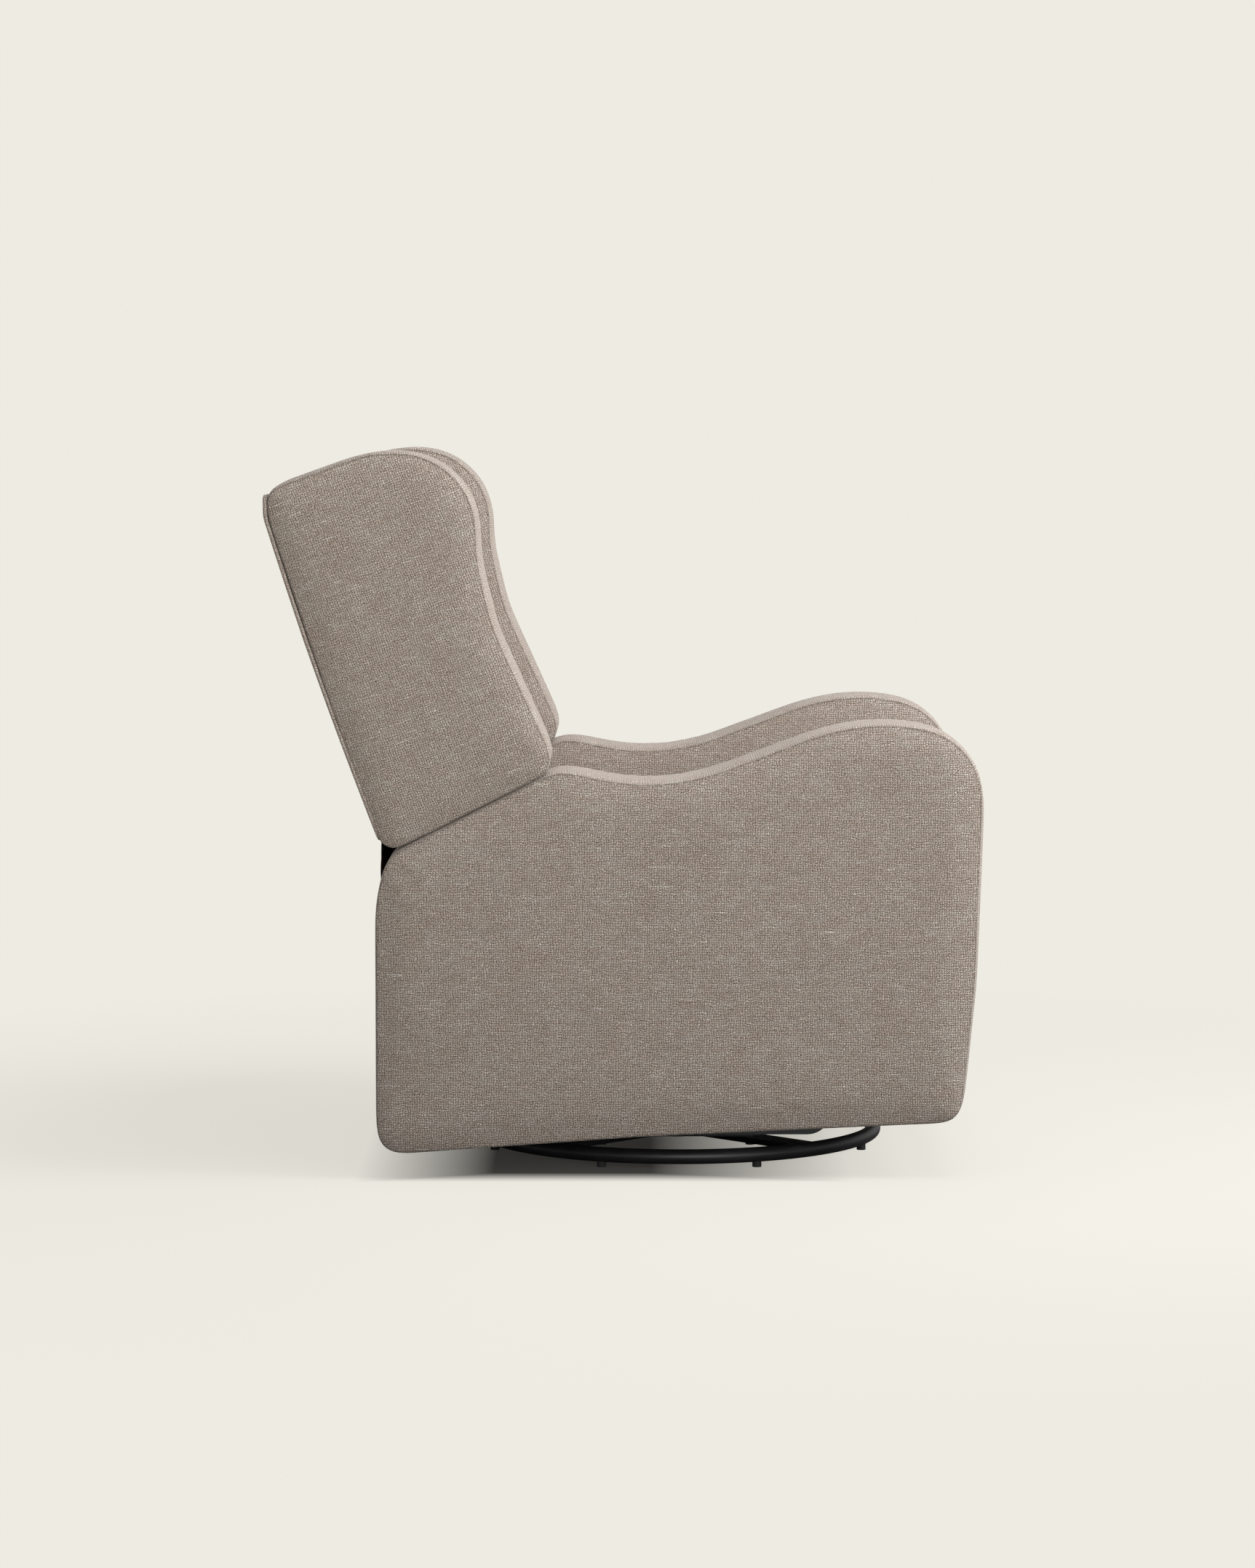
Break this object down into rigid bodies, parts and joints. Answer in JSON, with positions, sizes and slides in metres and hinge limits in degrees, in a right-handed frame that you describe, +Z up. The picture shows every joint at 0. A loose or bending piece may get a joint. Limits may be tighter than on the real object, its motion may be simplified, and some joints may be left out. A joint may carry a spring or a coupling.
{
  "type": "swivel glider recliner chair",
  "caption": "Upholstered wing-back nursery chair on a round swivel base, with a gliding body, a reclining back and a fold-out footrest.",
  "frame": {"origin": "on the swivel axis, at the level of the floor under the glides", "axes": "+Z up, front of the chair towards -Y, sitter's right towards -X"},
  "size_m": [0.76, 0.9869, 1.001],
  "materials": {
    "woven_fabric": "basket weave",
    "webbing": "woven",
    "felt": "matt",
    "black_steel": "satin",
    "grey_steel": "satin",
    "zinc_steel": "zinc plated",
    "bearing_steel": "ground",
    "spring_steel": "drawn",
    "nylon": "matt",
    "timber": "sawn"
  },
  "bodies": {
    "base": {"base_ring": "black_steel", "cross_bar_long": "black_steel", "cross_bar_split": "black_steel", "bearing_mount_plate": "black_steel", "base_bolts": "zinc_steel", "base_nuts": "zinc_steel", "lower_race": "bearing_steel", "bearing_balls": "bearing_steel", "swivel_spindle": "zinc_steel", "spindle_nut": "zinc_steel", "base_glides": "nylon"},
    "swivel": {"upper_race": "bearing_steel", "swivel_plate": "black_steel", "swivel_crossbar_front": "black_steel", "swivel_crossbar_rear": "black_steel", "glide_stand_left": "black_steel", "glide_stand_right": "black_steel", "stand_bolts": "zinc_steel", "glide_top_pins": "zinc_steel"},
    "glide_front": {"glide_links_front": "grey_steel", "front_link_bushings": "nylon"},
    "glide_rear": {"glide_links_rear": "grey_steel", "rear_link_bushings": "nylon"},
    "chair_body": {"mechanism_plate_left": "grey_steel", "mechanism_plate_right": "grey_steel", "mechanism_tube_front": "grey_steel", "mechanism_tube_rear": "grey_steel", "glide_bottom_pins": "zinc_steel", "footrest_pivot_pins": "zinc_steel", "recline_pins": "zinc_steel", "seat_side_rails": "timber", "seat_rail_front": "timber", "seat_rail_rear": "timber", "frame_bolts": "zinc_steel", "seat_springs": "spring_steel", "seat_deck": "felt", "seat_cushion": "woven_fabric", "seat_front_border": "woven_fabric", "arm_frame_left": "timber", "arm_frame_right": "timber", "arm_left": "woven_fabric", "arm_right": "woven_fabric", "rear_panel": "woven_fabric"},
    "backrest": {"back_brackets": "grey_steel", "back_posts": "timber", "back_rails": "timber", "back_springs": "spring_steel", "wing_left": "woven_fabric", "wing_right": "woven_fabric", "back_cushion": "woven_fabric", "outer_back": "woven_fabric"},
    "crank_front": {"footrest_cranks_front": "grey_steel"},
    "crank_rear": {"footrest_cranks_rear": "grey_steel"},
    "connector": {"footrest_connectors": "grey_steel", "connector_pins": "zinc_steel"},
    "ottoman": {"footrest_brackets": "grey_steel", "footrest_board": "timber", "footrest_pad": "woven_fabric"},
    "release": {"release_tab": "webbing"},
    "latch": {"release_latch": "grey_steel"}
  },
  "joints": [
    {"name": "swivel", "type": "hinge", "parent": "base", "child": "swivel", "pos_m": [0, 0, 0.034], "axis": [0, 0, 1], "continuous": true},
    {"name": "glide", "type": "hinge", "parent": "swivel", "child": "glide_front", "pos_m": [0, -0.11, 0.25], "axis": [-1, 0, 0], "range_deg": [-20, 20]},
    {"name": "glide_rear_links", "type": "hinge", "parent": "swivel", "child": "glide_rear", "pos_m": [0, 0.11, 0.25], "axis": [-1, 0, 0], "range_deg": [-20, 20]},
    {"name": "glide_carriage", "type": "hinge", "parent": "glide_front", "child": "chair_body", "pos_m": [0, -0.11, 0.1], "axis": [-1, 0, 0], "range_deg": [-20, 20]},
    {"name": "recline", "type": "hinge", "parent": "chair_body", "child": "backrest", "pos_m": [0, 0.35, 0.33], "axis": [-1, 0, 0], "range_deg": [0, 32]},
    {"name": "footrest", "type": "hinge", "parent": "chair_body", "child": "crank_front", "pos_m": [0, -0.288, 0.285], "axis": [-1, 0, 0], "range_deg": [0, 125]},
    {"name": "footrest_rear_cranks", "type": "hinge", "parent": "chair_body", "child": "crank_rear", "pos_m": [0, -0.236, 0.255], "axis": [-1, 0, 0], "range_deg": [0, 125]},
    {"name": "footrest_connector", "type": "hinge", "parent": "crank_front", "child": "connector", "pos_m": [0, -0.231, 0.18627], "axis": [-1, 0, 0], "range_deg": [-125, 0]},
    {"name": "footrest_tilt", "type": "hinge", "parent": "connector", "child": "ottoman", "pos_m": [0, -0.308, 0.272], "axis": [-1, 0, 0], "range_deg": [0, 90]},
    {"name": "release_pull", "type": "slide", "parent": "chair_body", "child": "release", "axis": [0, 0, 1], "range_m": [0, 0.02], "stiffness_N_per_m": 600},
    {"name": "latch_lift", "type": "hinge", "parent": "chair_body", "child": "latch", "pos_m": [-0.243, -0.17, 0.176], "axis": [-1, 0, 0], "range_deg": [0, 20]}
  ],
  "couplings": [
    {"joint": "glide_rear_links", "follows": "glide", "ratio": 1},
    {"joint": "glide_carriage", "follows": "glide", "ratio": -1},
    {"joint": "footrest_rear_cranks", "follows": "footrest", "ratio": 1},
    {"joint": "footrest_connector", "follows": "footrest", "ratio": -1},
    {"joint": "footrest_tilt", "follows": "footrest", "ratio": 0.72},
    {"joint": "latch_lift", "follows": "release_pull", "rad_per_m": 15.097}
  ]
}
